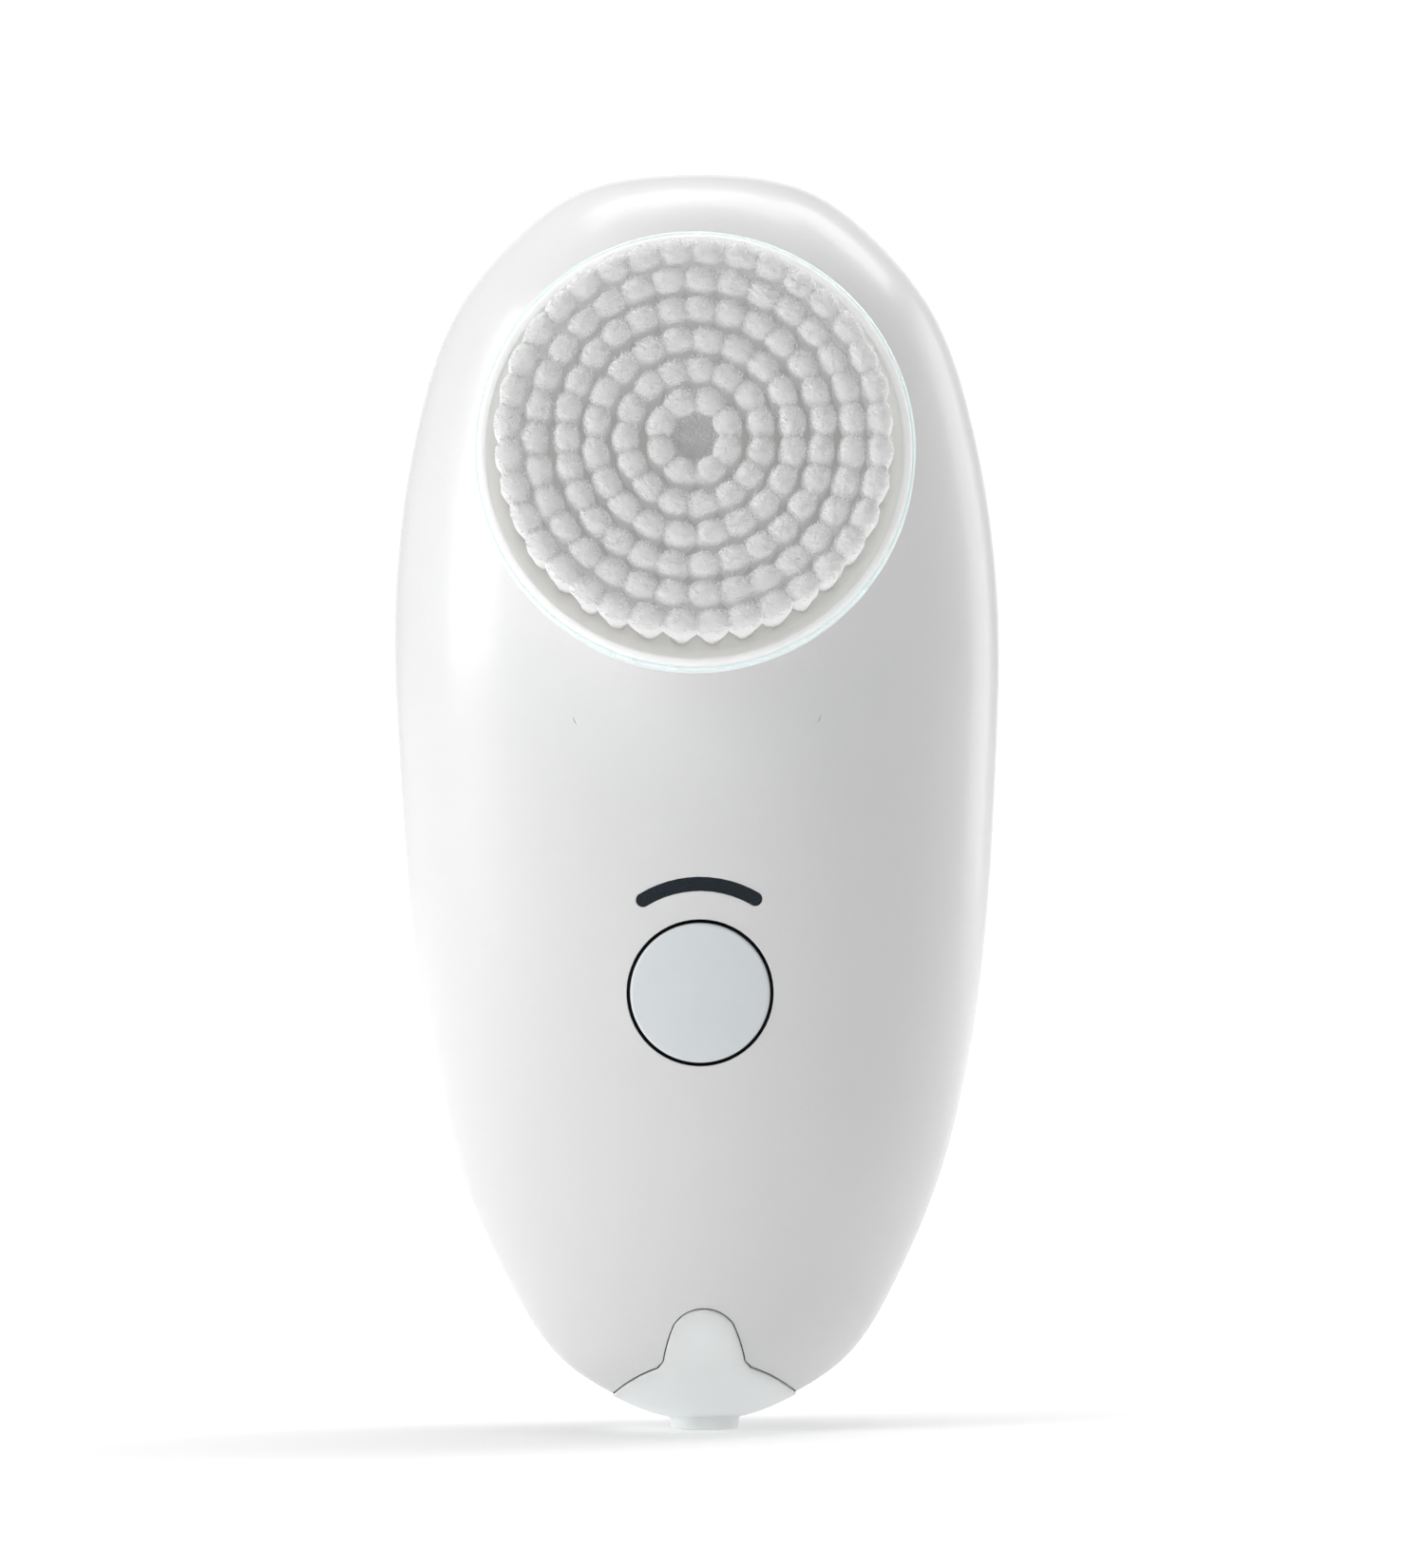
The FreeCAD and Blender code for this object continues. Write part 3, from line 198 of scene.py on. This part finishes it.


# Reach of the painted shade that darkens shell and button colour inside narrow gaps: the button gap, plug gap and
# seam.
GAP_SHADE_REACH = 0.0011
MATERIALS = {
    "shell_white": finish("shell_white", (0.74, 0.74, 0.743), rough=(0.30, 0.38), vary=0.012, vary_scale=35,
                          grain=(5200, 0.35, 0.00004), edge=0.00018, coat=0.22, gap_shade_reach=GAP_SHADE_REACH),
    "soft_white_rubber": finish("soft_white_rubber", (0.76, 0.775, 0.78), rough=(0.55, 0.7), vary=0.03,
                                vary_scale=140, grain=(6000, 0.3, 0.00003), sss=0.2),
    "button_grey": finish("button_grey", (0.71, 0.745, 0.77), rough=(0.42, 0.5), vary=0.02, vary_scale=90,
                          grain=(6000, 0.3, 0.00003), gap_shade_reach=GAP_SHADE_REACH),
    "black_silicone": finish("black_silicone", (0.006, 0.006, 0.008), rough=(0.55, 0.7), vary=0.3,
                             vary_scale=300, grain=(5000, 0.3, 0.00003), spec=0.25),
    "switch_black": finish("switch_black", (0.02, 0.02, 0.022), rough=(0.45, 0.6), vary=0.25, vary_scale=400,
                           grain=(6000, 0.3, 0.00003)),
    "plunger_nylon": finish("plunger_nylon", (0.62, 0.58, 0.5), rough=(0.4, 0.5), vary=0.05, vary_scale=300,
                            sss=0.2),
    "smoked_window": finish("smoked_window", (0.004, 0.011, 0.018), rough=(0.22, 0.32), vary=0.3,
                            vary_scale=220, grain=(3000, 0.15, 0.00002), spec=0.35),
    "led_lens": finish("led_lens", (0.85, 0.8, 0.5), rough=(0.2, 0.3), vary=0.1, vary_scale=900, sss=0.3),
    "board_green": finish("board_green", (0.012, 0.11, 0.04), rough=(0.25, 0.4), vary=0.35, vary_scale=500,
                          grain=(1500, 0.4, 0.00004), coat=0.4),
    "connector_cream": finish("connector_cream", (0.72, 0.66, 0.5), rough=(0.4, 0.55), vary=0.05,
                              vary_scale=300, sss=0.2),
    "zinc_steel": finish("zinc_steel", (0.56, 0.56, 0.57), rough=(0.25, 0.42), metal=1.0, vary=0.12,
                         vary_scale=260, grain=(2600, 0.3, 0.00003)),
    "shaft_steel": finish("shaft_steel", (0.66, 0.67, 0.69), rough=(0.12, 0.25), metal=1.0, vary=0.08,
                          vary_scale=200, grain=(900, 0.3, 0.00002), streak=(1, 12, 1)),
    "cell_can": finish("cell_can", (0.6, 0.6, 0.61), rough=(0.2, 0.32), metal=1.0, vary=0.08, vary_scale=150,
                       grain=(1200, 0.2, 0.00003)),
    "cell_sleeve": finish("cell_sleeve", (0.02, 0.12, 0.42), rough=(0.22, 0.34), vary=0.1, vary_scale=120,
                          grain=(500, 0.25, 0.0001), coat=0.5),
    "nickel_strip": finish("nickel_strip", (0.62, 0.6, 0.55), rough=(0.2, 0.35), metal=1.0, vary=0.1,
                           vary_scale=400, grain=(900, 0.3, 0.00003)),
    "cradle_grey": finish("cradle_grey", (0.15, 0.155, 0.165), rough=(0.42, 0.56), vary=0.08, vary_scale=120,
                          grain=(5000, 0.35, 0.00004)),
    "ribbon_amber": finish("ribbon_amber", (0.45, 0.17, 0.02), rough=(0.25, 0.35), vary=0.15, vary_scale=500,
                           coat=0.4, grain=(700, 0.2, 0.00003)),
    "acetal_white": finish("acetal_white", (0.78, 0.78, 0.74), rough=(0.35, 0.48), vary=0.03, vary_scale=200,
                           sss=0.25, grain=(3000, 0.2, 0.00003)),
    "brass": finish("brass", (0.62, 0.4, 0.14), rough=(0.2, 0.35), metal=1.0, vary=0.12, vary_scale=300,
                    grain=(1800, 0.3, 0.00003)),
    "bronze_bush": finish("bronze_bush", (0.36, 0.2, 0.08), rough=(0.4, 0.6), metal=1.0, vary=0.2,
                          vary_scale=900, grain=(3500, 0.5, 0.00005)),
    "end_cap_plastic": finish("end_cap_plastic", (0.6, 0.56, 0.46), rough=(0.42, 0.55), vary=0.05,
                              vary_scale=200, grain=(3000, 0.25, 0.00003)),
    "ferrite": finish("ferrite", (0.03, 0.03, 0.033), rough=(0.5, 0.7), metal=0.3, vary=0.3, vary_scale=500,
                      grain=(2500, 0.5, 0.00006)),
    "rotor_copper": finish("rotor_copper", (0.55, 0.2, 0.07), rough=(0.25, 0.45), metal=1.0, vary=0.25,
                           vary_scale=500, grain=(2200, 0.8, 0.0001), streak=(1, 1, 9)),
    "lead_red": finish("lead_red", (0.4, 0.012, 0.012), rough=(0.4, 0.55), vary=0.1, vary_scale=400,
                       grain=(3000, 0.3, 0.00003)),
    # cup_white and rim_clear carry a painted glow that stands in for light shining through the thin translucent
    # cup and rim.
    "cup_white": finish("cup_white", (0.93, 0.915, 0.885), rough=(0.28, 0.38), vary=0.012, vary_scale=80,
                        sss=1.0, sss_radius=(0.003,) * 3, grain=(3500, 0.2, 0.00003), glow=0.07),
    "rim_clear": finish("rim_clear", (0.80, 0.93, 0.945), rough=(0.2, 0.3), vary=0.02, vary_scale=120,
                        sss=0.8, through=0.2, grain=(3000, 0.2, 0.00003), glow=0.15),
    "magnet_nickel": finish("magnet_nickel", (0.6, 0.6, 0.62), rough=(0.12, 0.22), metal=1.0, vary=0.06,
                            vary_scale=400, grain=(900, 0.2, 0.00002)),
    # plug_elastomer carries a painted glow that stands in for light passing through the translucent plug.
    "plug_elastomer": finish("plug_elastomer", (0.80, 0.825, 0.825), rough=(0.4, 0.55), vary=0.015,
                             vary_scale=180, sss=1.0, sss_radius=(0.0025,) * 3, grain=(4500, 0.3, 0.00003),
                             glow=0.12),
}


def bristle_material():
    m, t = node_material("bristle")
    out = t.nodes.new("ShaderNodeOutputMaterial")
    tc = t.nodes.new("ShaderNodeTexCoord")
    n = noise(t, tc.outputs["Object"], 900, 3.0, 0.6)
    stops = [(0.3, (0.90, 0.90, 0.90)), (0.55, (0.94, 0.94, 0.94)), (0.8, (0.97, 0.97, 0.967))]
    c = ramp(t, n.outputs["Fac"], stops)
    b = t.nodes.new("ShaderNodeBsdfPrincipled")
    b.inputs["Specular IOR Level"].default_value = 0.3
    r = spread(t, n.outputs["Fac"], 0.5, 0.65)
    t.links.new(r.outputs["Result"], b.inputs["Roughness"])
    t.links.new(c.outputs["Color"], b.inputs["Base Color"])
    thin = t.nodes.new("ShaderNodeBsdfTranslucent")
    t.links.new(c.outputs["Color"], thin.inputs["Color"])
    # Painted light: a weak glow in the bristle colour lifts the shade between the filaments.
    b.inputs["Emission Strength"].default_value = 0.105
    t.links.new(c.outputs["Color"], b.inputs["Emission Color"])
    mix = t.nodes.new("ShaderNodeMixShader")
    mix.inputs["Fac"].default_value = 0.35
    t.links.new(b.outputs["BSDF"], mix.inputs[1])
    t.links.new(thin.outputs["BSDF"], mix.inputs[2])
    t.links.new(mix.outputs["Shader"], out.inputs["Surface"])
    return m


MATERIALS["bristle"] = bristle_material()

slot_of = {s["node"]: s["material_slot"] for s in record["subparts"]}


def dress(obj, slot_name):
    obj.data.materials.clear()
    obj.data.materials.append(MATERIALS[slot_name])


for name, obj in nodes.items():
    dress(obj, slot_of[name])


# ---------------------------------------------------------------- meshes
def mesh_object(name, verts, faces, smooth=True):
    me = bpy.data.meshes.new(name)
    verts = np.asarray(verts, np.float32)
    me.vertices.add(len(verts))
    me.vertices.foreach_set("co", verts.ravel())
    lengths = np.fromiter((len(f) for f in faces), np.int32, len(faces))
    flat = np.concatenate([np.asarray(f, np.int32) for f in faces]) if len(faces) else np.zeros(0, np.int32)
    me.loops.add(len(flat))
    me.loops.foreach_set("vertex_index", flat)
    me.polygons.add(len(faces))
    starts = np.concatenate(([0], np.cumsum(lengths)[:-1])).astype(np.int32)
    me.polygons.foreach_set("loop_start", starts)
    me.update(calc_edges=True)
    me.validate()
    if smooth:
        me.polygons.foreach_set("use_smooth", np.ones(len(me.polygons), bool))
    ob = bpy.data.objects.new(name, me)
    bpy.context.scene.collection.objects.link(ob)
    return ob


def place(obj, body, slot_name, *replaced):
    dress(obj, slot_name)
    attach(obj, body)
    if replaced:
        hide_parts(*replaced)
    return obj


# ---------------------------------------------------------------- bristle tufts
TIP = 19.0
FLOOR = 3.2
RINGS = [(3.65, 8), (6.8, 15), (9.84, 20), (12.86, 27), (15.84, 31), (18.6, 36)]
OUTER = 30
INNER = 110
THICK = 0.062


def filaments(base, tip, radius, sides=3, steps=5):
    """Thin tapered strands from base to tip, bowed a little, each closed at both ends."""
    count = len(base)
    heights = np.linspace(0, 1, steps)
    bow = rng.normal(0, 0.12, (count, 2))
    angles = np.linspace(0, 2 * np.pi, sides, endpoint=False)
    turn = rng.uniform(0, 2 * np.pi, count)
    verts = np.zeros((count, steps * sides + 1, 3))
    for i, h in enumerate(heights):
        mid = base + (tip - base) * h
        mid[:, :2] += bow * (math.sin(math.pi * h) * 0.9)
        thick = radius * (1.0 - 0.35 * h)
        for s in range(sides):
            verts[:, i * sides + s, 0] = mid[:, 0] + thick * np.cos(angles[s] + turn)
            verts[:, i * sides + s, 1] = mid[:, 1] + thick * np.sin(angles[s] + turn)
            verts[:, i * sides + s, 2] = mid[:, 2]
    verts[:, -1] = tip + np.array((0, 0, 0.06))
    quads = np.array([(i * sides + s, i * sides + (s + 1) % sides, (i + 1) * sides + (s + 1) % sides,
                       (i + 1) * sides + s) for i in range(steps - 1) for s in range(sides)])
    top = (steps - 1) * sides
    tris = np.array([(top + s, top + (s + 1) % sides, steps * sides) for s in range(sides)]
                    + [tuple(range(sides))[::-1]])
    shift = (np.arange(count) * (steps * sides + 1))[:, None, None]
    return verts.reshape(-1, 3), (quads[None] + shift).reshape(-1, 4), (tris[None] + shift).reshape(-1, 3)


def tuft_core(centre, lean, seed, axes):
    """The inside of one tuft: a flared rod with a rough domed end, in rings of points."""
    around = 20
    profile = [(0.70, FLOOR - 0.6), (0.78, 6.5), (0.92, 10.5), (1.08, 14.0), (1.14, 16.2), (1.06, 17.4),
               (0.92, 18.0), (0.66, 18.32), (0.34, 18.45)]
    angles = np.linspace(0, 2 * np.pi, around, endpoint=False) + seed
    verts = []
    for radius, w in profile:
        wobble = 1.0 + 0.04 * np.sin(3 * angles + seed * 5) + rng.normal(0, 0.03, around)
        h = (w - FLOOR) / (TIP - FLOOR)
        spot = np.stack((radius * wobble * np.cos(angles), radius * wobble * np.sin(angles)), 1)
        spread_out = axes if w > 9 else np.sqrt(np.abs(axes)) * np.sign(axes)
        lift = rng.normal(0, 0.05, around) if w > 17.5 else np.zeros(around)
        verts.append(np.column_stack((centre + lean * h + spot @ spread_out, w + lift)))
    verts.append(np.array([[centre[0] + lean[0], centre[1] + lean[1], 18.5]]))
    verts.append(np.array([[centre[0], centre[1], FLOOR - 0.6]]))
    rows = len(profile)
    quads = [(i * around + k, i * around + (k + 1) % around, (i + 1) * around + (k + 1) % around,
              (i + 1) * around + k) for i in range(rows - 1) for k in range(around)]
    last = (rows - 1) * around
    tris = [(last + k, last + (k + 1) % around, rows * around) for k in range(around)]
    tris += [((k + 1) % around, k, rows * around + 1) for k in range(around)]
    return np.concatenate(verts), np.array(quads), np.array(tris)


def tuft_ring(number, radius, count):
    verts, quads, tris, total = [], [], [], 0
    bases, tips = [], []
    side = math.pi * radius / count * 1.14
    for k in range(count):
        a = 2 * math.pi * (k + 0.5) / count
        outward = np.array((math.cos(a), math.sin(a)))
        along = np.array((-math.sin(a), math.cos(a)))
        wide = np.array((outward * 1.26, along * side))
        centre = outward * radius + rng.normal(0, 0.04, 2)
        lean = rng.normal(0, 0.05, 2)
        v, q, t = tuft_core(centre, lean, k * 1.7 + number, wide)
        verts.append(v)
        quads.append(q + total)
        tris.append(t + total)
        total += len(v)
        droop = rng.normal(0, 0.04)
        phi = (np.arange(OUTER) + 0.5) * 2 * math.pi / OUTER + rng.normal(0, 0.08, OUTER)
        unit = np.stack((np.cos(phi), np.sin(phi)), 1)
        bases.append(np.column_stack((centre + unit * 0.80, np.full(OUTER, FLOOR - 0.6))))
        reach = rng.uniform(1.00, 1.16, (OUTER, 1))
        top = np.minimum(TIP - 0.75 + droop + rng.uniform(-0.45, 0.40, OUTER), TIP - 0.1)
        tips.append(np.column_stack((centre + lean + (unit * reach) @ wide, top)))
        i = np.arange(INNER) + 0.5
        rho = np.sqrt(i / INNER)
        phi = i * 2.399963 + rng.uniform(0, 6.28)
        unit = np.stack((rho * np.cos(phi), rho * np.sin(phi)), 1)
        bases.append(np.column_stack((centre + lean + (unit * 0.88) @ wide, np.full(INNER, 16.6))))
        spot = centre + lean + (unit * 1.06 + rng.normal(0, 0.06, unit.shape)) @ wide
        top = TIP - 0.14 - 0.40 * rho ** 2.5 + droop - rng.uniform(0, 0.34, INNER)
        tips.append(np.column_stack((spot, np.minimum(top, TIP - 0.1))))
    if number == 1:
        # the shorter bundle that shows in the middle of the first ring
        amount = 500
        i = np.arange(amount) + 0.5
        phi = i * 2.399963
        spot = np.stack((np.cos(phi), np.sin(phi)), 1) * np.sqrt(i / amount)[:, None]
        bases.append(np.column_stack((spot * 1.7, np.full(amount, 13.0))))
        head = spot * 2.35 + rng.normal(0, 0.09, spot.shape)
        tips.append(np.column_stack((head, 17.3 - rng.uniform(0, 0.9, amount))))
        v, q, t = tuft_core(np.zeros(2), np.zeros(2), 0.0, np.eye(2) * 2.0)
        v[:, 2] = FLOOR - 0.6 + (v[:, 2] - FLOOR + 0.6) * 0.84
        verts.append(v)
        quads.append(q + total)
        tris.append(t + total)
        total += len(v)
    v, q, t = filaments(np.concatenate(bases), np.concatenate(tips), THICK)
    verts.append(v)
    quads.append(q + total)
    tris.append(t + total)
    ob = mesh_object("bristle_ring_%d" % number, on_drive(np.concatenate(verts)),
                     list(np.concatenate(quads)) + list(np.concatenate(tris)))
    return place(ob, "brush_head", "bristle", "tuft_ring_%d" % number)


for number, (radius, count) in enumerate(RINGS, 1):
    tuft_ring(number, radius, count)


# ---------------------------------------------------------------- the soft plug and its strap in one piece
def soft_copy(name, sources, voxel, passes):
    """One closed soft skin over several CAD solids, with rounded edges."""
    verts, faces = [], []
    for source in sources:
        me = nodes[source].data
        shift = len(verts)
        verts += [nodes[source].matrix_world @ v.co for v in me.vertices]
        faces += [[i + shift for i in f.vertices] for f in me.polygons]
    rough = bpy.data.meshes.new(name + "_source")
    rough.from_pydata([tuple(v) for v in verts], [], faces)
    temp = bpy.data.objects.new(name + "_source", rough)
    bpy.context.scene.collection.objects.link(temp)
    remesh = temp.modifiers.new("skin", "REMESH")
    remesh.mode = "VOXEL"
    remesh.voxel_size = voxel
    relax = temp.modifiers.new("relax", "SMOOTH")
    relax.factor = 0.5
    relax.iterations = passes
    bpy.context.view_layer.update()
    done = bpy.data.meshes.new_from_object(temp.evaluated_get(bpy.context.evaluated_depsgraph_get()))
    bpy.data.objects.remove(temp)
    bpy.data.meshes.remove(rough)
    done.name = name
    done.polygons.foreach_set("use_smooth", np.ones(len(done.polygons), bool))
    ob = bpy.data.objects.new(name, done)
    bpy.context.scene.collection.objects.link(ob)
    return ob


strap = soft_copy("plug_strap", ("plug_anchor", "plug_web", "port_plug"), 0.00012, 5)
dress(strap, "plug_elastomer")
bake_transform(strap)
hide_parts("plug_anchor", "plug_web", "port_plug")


# ---------------------------------------------------------------- floor, backdrop, light
def plane(name, size_x, size_y, matrix):
    me = bpy.data.meshes.new(name)
    x, y = size_x / 2, size_y / 2
    me.from_pydata([(-x, -y, 0), (x, -y, 0), (x, y, 0), (-x, y, 0)], [], [(0, 1, 2, 3)])
    ob = bpy.data.objects.new(name, me)
    ob.matrix_world = matrix
    bpy.context.scene.collection.objects.link(ob)
    return ob


FLOOR_SIZE = 5.0
FLOOR_GLOW = 0.24
FAR_GLOW = 0.70
GLOW_STARTS = 0.07
GLOW_FULL = 0.40
FRONT_DARK_Y = -1.10
FRONT_PALE_Y = -0.16
FRONT_COLOUR = (0.62, 0.62, 0.62, 1)
WALL_GLOW = 1.03


def ground_material(name):
    """Pale ground. Its glow is weak beside the object, so that the shadow shows, and fades out in front."""
    m, t = node_material(name)
    out = t.nodes.new("ShaderNodeOutputMaterial")
    b = t.nodes.new("ShaderNodeBsdfPrincipled")
    tc = t.nodes.new("ShaderNodeTexCoord")
    n = noise(t, tc.outputs["Object"], 8.0, 3.0)
    c = ramp(t, n.outputs["Fac"], [(0.3, (0.795, 0.795, 0.795)), (0.7, (0.805, 0.805, 0.805))])
    b.inputs["Roughness"].default_value = 0.9
    b.inputs["Specular IOR Level"].default_value = 0.1
    b.inputs["Emission Color"].default_value = (1, 1, 1, 1)
    far = t.nodes.new("ShaderNodeVectorMath")
    far.operation = "LENGTH"
    t.links.new(tc.outputs["Object"], far.inputs[0])
    out_glow = t.nodes.new("ShaderNodeMapRange")
    out_glow.interpolation_type = "SMOOTHSTEP"
    out_glow.inputs["From Min"].default_value = GLOW_STARTS
    out_glow.inputs["From Max"].default_value = GLOW_FULL
    out_glow.inputs["To Min"].default_value = FLOOR_GLOW
    out_glow.inputs["To Max"].default_value = FAR_GLOW
    t.links.new(far.outputs["Value"], out_glow.inputs["Value"])
    split = t.nodes.new("ShaderNodeSeparateXYZ")
    t.links.new(tc.outputs["Object"], split.inputs["Vector"])
    front = t.nodes.new("ShaderNodeMapRange")
    front.interpolation_type = "SMOOTHSTEP"
    front.inputs["From Min"].default_value = FRONT_DARK_Y
    front.inputs["From Max"].default_value = FRONT_PALE_Y
    t.links.new(split.outputs["Y"], front.inputs["Value"])
    dim = t.nodes.new("ShaderNodeMix")
    dim.data_type = "RGBA"
    dim.inputs[6].default_value = FRONT_COLOUR
    t.links.new(front.outputs["Result"], dim.inputs[0])
    t.links.new(c.outputs["Color"], dim.inputs[7])
    t.links.new(dim.outputs[2], b.inputs["Base Color"])
    both = t.nodes.new("ShaderNodeMath")
    both.operation = "MULTIPLY"
    t.links.new(out_glow.outputs["Result"], both.inputs[0])
    t.links.new(front.outputs["Result"], both.inputs[1])
    t.links.new(both.outputs["Value"], b.inputs["Emission Strength"])
    t.links.new(b.outputs["BSDF"], out.inputs["Surface"])
    return m


floor = plane("floor", FLOOR_SIZE, FLOOR_SIZE, Matrix.Identity(4))
floor.data.materials.append(ground_material("floor_white"))


def backdrop_material(name):
    m, t = node_material(name)
    out = t.nodes.new("ShaderNodeOutputMaterial")
    tc = t.nodes.new("ShaderNodeTexCoord")
    n = noise(t, tc.outputs["Object"], 2.0, 2.0)
    e = t.nodes.new("ShaderNodeEmission")
    c = ramp(t, n.outputs["Fac"], [(0.3, (0.995, 0.995, 0.995)), (0.7, (1.0, 1.0, 1.0))])
    t.links.new(c.outputs["Color"], e.inputs["Color"])
    e.inputs["Strength"].default_value = WALL_GLOW
    t.links.new(e.outputs["Emission"], out.inputs["Surface"])
    return m


WALL_WIDTH = 1.0
WALL_HEIGHT = 0.7
WALL_Y = 1.1
upright = Matrix.Rotation(math.radians(90), 4, "X")
wall_place = Matrix.Translation((0, WALL_Y, WALL_HEIGHT / 2)) @ upright
wall = plane("backdrop", WALL_WIDTH, WALL_HEIGHT, wall_place)
wall.data.materials.append(backdrop_material("backdrop_white"))


def area(name, location, target, size, power):
    data = bpy.data.lights.new(name, "AREA")
    data.shape = "RECTANGLE"
    data.size, data.size_y = size
    data.energy = power
    ob = bpy.data.objects.new(name, data)
    ob.location = location
    ob.rotation_euler = (Vector(target) - Vector(location)).to_track_quat("-Z", "Y").to_euler()
    bpy.context.scene.collection.objects.link(ob)


area("key_left", (-0.81, -0.36, 0.40), (0, 0, 0.07), (0.40, 0.7), 5.8)
area("rim_right", (0.62, 0.30, 0.16), (0, 0, 0.07), (0.35, 0.6), 1.50)
area("overhead", (0.0, 0.03, 0.95), (0, 0.03, 0.0), (0.9, 0.32), 4.3)
area("shoulder", (0.42, 0.18, 0.66), (0.0, 0.0, 0.12), (0.22, 0.32), 1.3)
area("crown", (0.04, 0.0, 0.42), (0.0, 0.0, 0.1), (0.2, 0.2), 0.18)

# The studio round the object, by direction: a little brighter behind it than in front.
world = bpy.data.worlds.new("studio")
world.use_nodes = True
wt = world.node_tree
wt.nodes.clear()
w_out = wt.nodes.new("ShaderNodeOutputWorld")
w_back = wt.nodes.new("ShaderNodeBackground")
w_coord = wt.nodes.new("ShaderNodeTexCoord")
w_split = wt.nodes.new("ShaderNodeSeparateXYZ")
wt.links.new(w_coord.outputs["Generated"], w_split.inputs["Vector"])
w_map = wt.nodes.new("ShaderNodeMapRange")
w_map.interpolation_type = "SMOOTHSTEP"
w_map.inputs["From Min"].default_value = -0.25
w_map.inputs["From Max"].default_value = 0.75
w_map.inputs["To Min"].default_value = 0.13
w_map.inputs["To Max"].default_value = 0.22
wt.links.new(w_split.outputs["Y"], w_map.inputs["Value"])
wt.links.new(w_map.outputs["Result"], w_back.inputs["Strength"])
w_back.inputs["Color"].default_value = (1, 1, 1, 1)
wt.links.new(w_back.outputs["Background"], w_out.inputs["Surface"])
bpy.context.scene.world = world

# ---------------------------------------------------------------- camera
SENSOR = 24.0
DISTANCE = 0.9
VIEW_HEIGHT = 0.16269
AIM = Vector((0.00148, 0.0, 0.06685))
ROLL = math.radians(0.59)
cam_data = bpy.data.cameras.new("camera")
cam_data.sensor_fit = "AUTO"
cam_data.sensor_width = SENSOR
cam_data.lens = SENSOR * DISTANCE / VIEW_HEIGHT
cam_data.clip_start = 0.01
cam_data.clip_end = 20.0
cam = bpy.data.objects.new("camera", cam_data)
right = Vector((math.cos(ROLL), 0, -math.sin(ROLL)))
up = Vector((math.sin(ROLL), 0, math.cos(ROLL)))
back = Vector((0, -1, 0))
turn = Matrix((right, up, back)).transposed()
cam.matrix_world = Matrix.Translation(AIM + back * DISTANCE) @ turn.to_4x4()
bpy.context.scene.collection.objects.link(cam)
bpy.context.scene.camera = cam

scene = bpy.context.scene
scene.view_settings.view_transform = "Standard"
scene.view_settings.look = "None"
scene.view_settings.exposure = 0.0
scene.view_settings.gamma = 1.0
